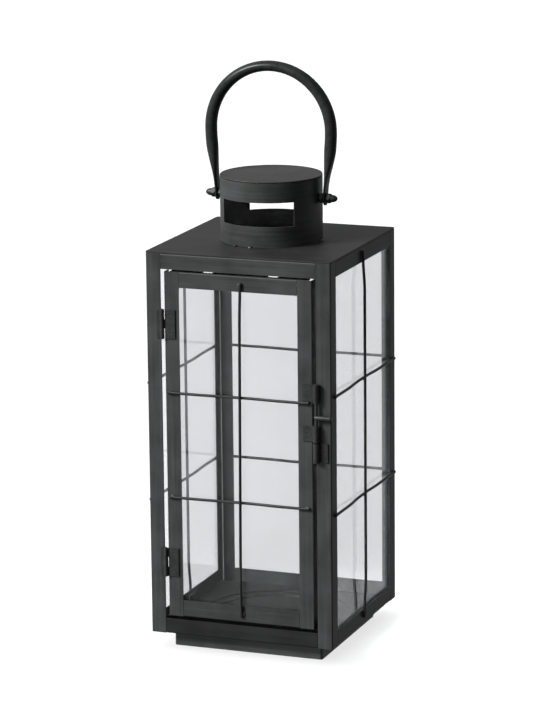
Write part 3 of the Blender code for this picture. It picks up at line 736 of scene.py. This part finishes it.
def add_collar():
    low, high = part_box("vent_collar")
    radius = high.x
    foot = low.z
    inner = radius - SHEET
    band = [(inner, foot), (radius, foot), (radius, high.z), (inner, high.z)]
    mesh = turned(band, COLLAR_SIDES, closed=True)
    slot_low = foot + SLOT_ABOVE_FOOT
    for middle in (-90, 90):
        ends = (middle - SLOT_HALF_ANGLE, middle + SLOT_HALF_ANGLE)
        outline = [(0, 0)] + arc((0, 0), radius * 1.3, *ends, 24)
        mesh = cut(mesh, extruded(outline, slot_low, slot_low + SLOT_HEIGHT))
    for side in (1, -1):
        mesh = cut(mesh, pivot_bore(side, inner - 5 * MM, radius + 5 * MM))
    piece("collar_band", mesh, COATS["collar"], "frame", "frame", "vent_collar", bevel=COLLAR_EDGE)

    lid_low, lid_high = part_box("vent_lid")
    disc = [(0, lid_low.z), (radius, lid_low.z), (radius, lid_high.z), (0, lid_high.z)]
    profile = rounded(disc, LID_EDGE, 6)
    piece("collar_lid", turned(profile, COLLAR_SIDES), COATS["lid"], "frame", "plates", "vent_lid")


# Bail handle and its pivots

def screw_bore(start, end):
    return turned([(0, start), (SCREW_HOLE, start), (SCREW_HOLE, end), (0, end)], SMALL_SIDES)


def pivot_bore(side, start, end):
    """A bore in place on the handle's pivot, at distances out from the middle."""
    return moved(screw_bore(start, end), HANDLE_PIVOT, along_x(side))


def bail_stations(side):
    """Stations from one strap's round end up to the crown."""
    pivot = HANDLE_PIVOT
    low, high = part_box("bail_handle")
    centre_z = pivot.z + BAIL_CENTRE_ABOVE_PIVOT
    radius = high.z - CROWN_HALF[0] - centre_z
    end = low.z
    stations = []
    tip_steps = 10
    for i in range(tip_steps + 1):
        turn = math.pi / 2 * i / tip_steps
        below = (1 - math.cos(turn)) * STRAP_HALF[1]
        wide = STRAP_HALF[1] * max(math.sin(turn), 0.12)
        stations.append((STRAP_X, end + below, (STRAP_HALF[0], wide), STRAP_SQUARENESS))
    flat_end = pivot.z + FLAT_END_ABOVE_PIVOT
    round_start = centre_z - ROUND_START_BELOW_CENTRE
    leg_low = pivot.z + LEG_LOW_ABOVE_PIVOT
    leg_steps = 40
    for i in range(leg_steps + 1):
        z = leg_low + (centre_z - leg_low) * i / leg_steps
        swell = eased((z - flat_end) / (round_start - flat_end))
        reach = eased((z - pivot.z) / (centre_z - pivot.z)) ** 0.8
        x = STRAP_X + (radius - STRAP_X) * reach
        squareness = STRAP_SQUARENESS + (2.0 - STRAP_SQUARENESS) * swell
        stations.append((x, z, between(STRAP_HALF, TUBE_HALF, swell), squareness))
    arc_steps = 40
    for i in range(1, arc_steps + 1):
        turn = math.pi / 2 * i / arc_steps
        size = between(TUBE_HALF, CROWN_HALF, eased(i / arc_steps))
        stations.append((radius * math.cos(turn), centre_z + radius * math.sin(turn), size, 2.0))
    return [(Vector((side * x, 0, z)), size[0], size[1], square) for x, z, size, square in stations]


def add_handle():
    stations = bail_stations(1) + bail_stations(-1)[-2::-1]
    mesh = swept(stations, Vector((0, 1, 0)), BAIL_SIDES)
    for side in (1, -1):
        mesh = cut(mesh, pivot_bore(side, STRAP_X - 3 * MM, STRAP_X + 3 * MM))
    piece("bail_tube", mesh, COATS["handle"], "handle", "handle", "bail_handle", sharp=50)


def hexagon(low, high):
    """A hexagon with its corners turned off at both ends."""
    corner = NUT_ACROSS / math.sqrt(3)
    mesh = extruded(arc((0, 0), corner, 30, 330, 5), low, high)
    flat = NUT_ACROSS / 2 * 0.97
    profile = [(0, low), (flat, low), (corner, low + NUT_CHAMFER)]
    profile += [(corner, high - NUT_CHAMFER), (flat, high), (0, high)]
    clear_of_corners = 1.0001
    turning = turned([(radius * clear_of_corners, z) for radius, z in profile], NUT_SIDES)
    return combined(mesh, turning, "INTERSECT")


def lock_nut(low, high):
    return cut(hexagon(low, high), screw_bore(low - MM, high + MM))


def cap_nut(low, tip):
    """A hexagon under a dome, bored from below."""
    hex_high = low + CAP_HEX_HEIGHT
    neck = hex_high + CAP_NECK
    steps = 14
    dome = [(0, low + MM), (DOME_RADIUS, low + MM), (DOME_RADIUS, neck)]
    for i in range(1, steps):
        turn = math.pi / 2 * i / steps
        dome.append((DOME_RADIUS * math.cos(turn), neck + (tip - neck) * math.sin(turn)))
    dome.append((0, tip))
    cap = combined(hexagon(low, hex_high), turned(dome, NUT_SIDES), "UNION")
    return cut(cap, screw_bore(low - MM, hex_high + MM))


def pan_screw(low, end):
    """A screw with a pan head that has a cross slot."""
    high = low + SCREW_HEAD_HEIGHT
    head = arc((SCREW_HEAD_RADIUS - SCREW_HEAD_HEIGHT, high), SCREW_HEAD_HEIGHT, -90, 0, 12)
    profile = [(0, low)] + head
    profile += [(SCREW_RADIUS, high), (SCREW_RADIUS, end - SCREW_CHAMFER)]
    profile += [(SCREW_RADIUS - SCREW_CHAMFER, end), (0, end)]
    screw = turned(profile, SMALL_SIDES)
    for x, y in (SCREW_SLOT, SCREW_SLOT[::-1]):
        screw = cut(screw, block((-x, -y, low - MM), (x, y, low + SCREW_SLOT_DEPTH)))
    return screw


def add_pivots():
    """On each side a pan-head screw from inside, a lock nut, the strap and a cap nut."""
    finishes = {
        "lock_nut": (lock_nut, "pivot_lock_nut", {"bevel": NUT_EDGE}),
        "cap_nut": (cap_nut, "pivot_cap_nut", {"bevel": NUT_EDGE}),
        "pan_screw": (pan_screw, "pivot_screw", {"sharp": 30}),
    }
    for side, sign in (("right", 1), ("left", -1)):
        for name, (shape, node, finish) in finishes.items():
            low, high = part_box(f"{node}_{side}")
            span = sorted((abs(low.x), abs(high.x)))
            mesh = moved(shape(*span), HANDLE_PIVOT, along_x(sign))
            piece(f"{name}_{side}", mesh, COATS["hardware"], "frame", "hardware", f"{node}_{side}", **finish)


# Hinges and latch

def curl(low, high, outer, hole, reach, strip_back):
    """A barrel on the Z axis and the strip it is curled from, towards +X, its back at a distance in +Y."""
    strip_front = strip_back - LEAF
    start = math.degrees(math.asin(min(strip_back / outer, 1.0)))
    end = math.degrees(math.asin(strip_front / outer)) + 360
    outline = [(reach, strip_front), (reach, strip_back)] + arc((0, 0), outer, start, end, 56)
    bore = extruded(arc((0, 0), hole, 0, 354, 59), low - MM, high + MM)
    return cut(extruded(outline, low, high), bore)


def dimple(x, front, z):
    """A ball that presses a shallow spot weld into a face that looks to -Y."""
    ball = (DIMPLE_RADIUS ** 2 + DIMPLE_DEPTH ** 2) / (2 * DIMPLE_DEPTH)
    bm = bmesh.new()
    bmesh.ops.create_uvsphere(bm, u_segments=64, v_segments=64, radius=ball)
    return moved(new_mesh(bm), (x, front - ball + DIMPLE_DEPTH, z))


def hinge_leaf(place, on_door):
    """A curled leaf with room cut in its barrel for the other leaf's knuckles."""
    axis = DOOR_AXIS
    body = "door" if on_door else "frame"
    node = f"hinge_{place}_{body}_leaf"
    low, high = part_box(node)
    radius = axis.y - low.y
    reach = high.x - axis.x if on_door else axis.x - low.x
    back = -HALF_WIDTH - FIT - axis.y
    mesh = curl(low.z, high.z, radius, HINGE_HOLE, reach, back)
    third = (high.z - low.z) / 3
    gap = FIT / 2
    keeps_middle = (place == "upper") == on_door
    spans = [(low.z + third - gap, high.z - third + gap)]
    if keeps_middle:
        spans = [(low.z - MM, low.z + third + gap), (high.z - third - gap, high.z + MM)]
    clear = radius + FIT
    for span_low, span_high in spans:
        mesh = cut(mesh, block((-2 * clear, -2 * clear, span_low), (clear, 2 * clear, span_high)))
    front = back - LEAF
    middle = (radius + reach) / 2 + 0.3 * MM
    if on_door:
        for z in (low.z + third * 0.55, high.z - third * 0.55):
            mesh = cut(mesh, dimple(middle, front, z))
    else:
        mesh = mirrored(mesh)
    name = f"hinge_{place}_leaf_on_{body}"
    piece(name, moved(mesh, (axis.x, axis.y, 0)), COATS["hardware"], body, "hardware", node, bevel=LEAF_EDGE)


def add_hinges():
    axis = DOOR_AXIS
    for place in ("upper", "lower"):
        hinge_leaf(place, True)
        hinge_leaf(place, False)
        node = f"hinge_{place}_pin"
        low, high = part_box(node)
        radius = (high.x - low.x) / 2
        rod = [(0, low.z), (radius, low.z), (radius, high.z), (0, high.z)]
        pin = moved(turned(rounded(rod, radius * 0.6, 6), 32), (axis.x, axis.y, 0))
        piece(f"hinge_{place}_rivet", pin, COATS["hardware"], "frame", "hardware", node)


def bolt_axis():
    """Where the upright bolt stands, as x and y."""
    low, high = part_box("latch_bolt")
    return low.x + BOLT_RADIUS, (low.y + high.y) / 2


def add_latch_barrel(node, name, body):
    """A guide or keeper: a strip curled round the bolt, spot-welded by its leaf."""
    x, y = bolt_axis()
    low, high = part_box(node)
    on_door = body == "door"
    outer = high.x - x if on_door else x - low.x
    reach = x - low.x if on_door else high.x - x
    mesh = curl(low.z, high.z, outer, BARREL_HOLE, reach, high.y - y)
    middle = (low.z + high.z) / 2
    mesh = cut(mesh, dimple((outer + reach) / 2 + 0.2 * MM, high.y - y - LEAF, middle))
    if on_door:
        mesh = mirrored(mesh)
    piece(name, moved(mesh, (x, y, 0)), COATS["hardware"], body, "hardware", node, bevel=LEAF_EDGE)


def add_bolt():
    """An upright rod with a finger arm to the right."""
    x, y = bolt_axis()
    low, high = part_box("latch_bolt")
    arm_radius = (high.y - low.y) / 2
    guide_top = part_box("latch_middle_guide")[1].z
    arm_z = guide_top + FIT + arm_radius + BOLT_DROP
    length = high.x - x
    rod = [(0, low.z), (BOLT_RADIUS, low.z), (BOLT_RADIUS, high.z), (0, high.z)]
    arm = [(0, -BOLT_RADIUS), (arm_radius, -BOLT_RADIUS), (arm_radius, length), (0, length)]
    arm_mesh = moved(turned(rounded(arm, ARM_ROUND, 8), SMALL_SIDES), (0, 0, arm_z), along_x())
    mesh = combined(turned(rounded(rod, BOLT_ROUND, 6), SMALL_SIDES), arm_mesh, "UNION")
    piece("bolt_rod", moved(mesh, (x, y, 0)), COATS["hardware"], "latch_bolt", "hardware", "latch_bolt",
          sharp=40)


# Wire bars

def wire_stations(start, end, normal, lift):
    """Stations along a wire from one point to another: round cut ends and a pressed stretch at each end.
    lift gives its distance out along the normal, for a distance from its start and from its nearer end."""
    length = (end - start).length
    ends = [0.0, 0.04, 0.12, 0.25, 0.42, 0.6, 0.8, 1.0, 1.5, 2, 3, 4, 5, 5.8, 6.5, 7.2]
    ends += range(8, 16)
    places = [d * MM for d in ends]
    last = places[-1]
    middle = length - 2 * last
    steps = round(middle / MM)
    places += [last + middle * i / steps for i in range(1, steps)]
    places += [length - d * MM for d in reversed(ends)]
    stations = []
    for place in places:
        from_end = min(place, length - place)
        centre = start.lerp(end, place / length) + normal * lift(place, from_end)
        pressed = eased(1 - from_end / PRESSED_LENGTH)
        tip = min(from_end / WIRE_TIP, 1.0)
        tip = max(math.sqrt(1 - (1 - tip) ** 2), 0.3)
        wide = WIRE_RADIUS * (1 + 0.25 * pressed) * tip
        deep = WIRE_RADIUS * (1 - 0.1 * pressed) * tip
        stations.append((centre, wide, deep, 2.0 + 0.6 * pressed))
    return stations


def add_bars():
    """On each side an upright that steps out over two crossbars, which dip in a little under it."""
    for side, (out_axis, out_sign, body) in BAR_SIDES.items():
        normal = Vector([out_sign if i == out_axis else 0 for i in range(3)])
        along = 1 - out_axis
        plane = (HALF_WIDTH + WIRE_LIFT + WIRE_RADIUS) * out_sign

        def add_wire(name, node, ends, lift):
            for end in ends:
                end[out_axis] = plane
            wire = swept(wire_stations(*ends, normal, lift), normal, WIRE_SIDES)
            piece(name, wire, COATS["wire"], body, "bars", node, sharp=60)

        low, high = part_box(f"bar_{side}_upright")
        crossing = (low[along] + high[along]) / 2
        lean = DOOR_UPRIGHT_LEAN if side == "door" else 0.0
        ends = [Vector((0, 0, low.z)), Vector((0, 0, high.z))]
        for end, sign in zip(ends, (-1, 1)):
            end[along] = crossing + sign * lean / 2

        def step_out(place, from_end):
            short, long = UPRIGHT_JOGGLE
            return WIRE_STEP * eased((from_end - short) / (long - short))

        add_wire(f"wire_{side}_upright", f"bar_{side}_upright", ends, step_out)

        for level in ("lower", "upper"):
            node = f"bar_{side}_{level}_crossbar"
            low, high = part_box(node)
            ends = [Vector(low), Vector(high)]
            for end in ends:
                end.z = (low.z + high.z) / 2

            def dip_in(place, from_end, middle=crossing - low[along]):
                short, long = CROSSBAR_DIP
                return -WIRE_STEP * eased((long - abs(place - middle)) / (long - short))

            add_wire(f"wire_{side}_{level}_crossbar", node, ends, dip_in)


# Weld beads

def add_weld_beads():
    """Beads under the wires' ends and where they cross, and tacks round the collar's foot."""
    for side, (out_axis, out_sign, body) in BAR_SIDES.items():
        bm = bmesh.new()
        along = 1 - out_axis
        up_low, up_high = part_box(f"bar_{side}_upright")
        face = HALF_WIDTH * out_sign
        seed = 3.0 + out_axis * 7 + out_sign * 2

        def spot(across, z, sizes, lift):
            nonlocal seed
            centre = Vector((0, 0, z))
            centre[out_axis] = face + out_sign * lift
            centre[along] = across
            shape = [0.0, 0.0, sizes[1]]
            shape[out_axis] = sizes[2]
            shape[along] = sizes[0]
            bead(bm, centre, shape, seed)
            seed += 1.7

        middle = ((up_low + up_high) / 2)[along]
        for z in (up_low.z + UPRIGHT_BEAD_FROM_END, up_high.z - UPRIGHT_BEAD_FROM_END):
            spot(middle, z, UPRIGHT_BEAD, BEAD_LIFT)
        for level in ("lower", "upper"):
            low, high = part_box(f"bar_{side}_{level}_crossbar")
            z = (low.z + high.z) / 2
            for across in (low[along] + CROSSBAR_BEAD_FROM_END, high[along] - CROSSBAR_BEAD_FROM_END):
                spot(across, z, CROSSBAR_BEAD, BEAD_LIFT)
            spot(middle, z, CROSSING_BEAD, WIRE_LIFT + WIRE_RADIUS)
        piece(f"weld_beads_{side}", new_mesh(bm), COATS["weld"], body, "bars", sharp=80)

    low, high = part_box("vent_collar")
    bm = bmesh.new()
    for i, angle in enumerate(COLLAR_TACK_ANGLES):
        turn = math.radians(angle)
        centre = Vector((math.cos(turn), math.sin(turn), 0)) * (high.x + COLLAR_TACK_OFFSET)
        centre.z = low.z + COLLAR_TACK_OFFSET
        bead(bm, centre, COLLAR_TACK, 20 + 3.1 * i)
    piece("weld_tacks_collar", new_mesh(bm), COATS["weld"], "frame", "frame", sharp=80)


add_camera()
add_studio()
finish_sheets()
add_roof_seam()
add_floor_gussets()
add_floor_pressing()
add_glass()
add_collar()
add_handle()
add_pivots()
add_hinges()
add_latch_barrel("latch_upper_guide", "bolt_guide_upper", "door")
add_latch_barrel("latch_middle_guide", "bolt_guide_middle", "door")
add_latch_barrel("latch_keeper", "bolt_keeper", "frame")
add_bolt()
add_bars()
add_weld_beads()
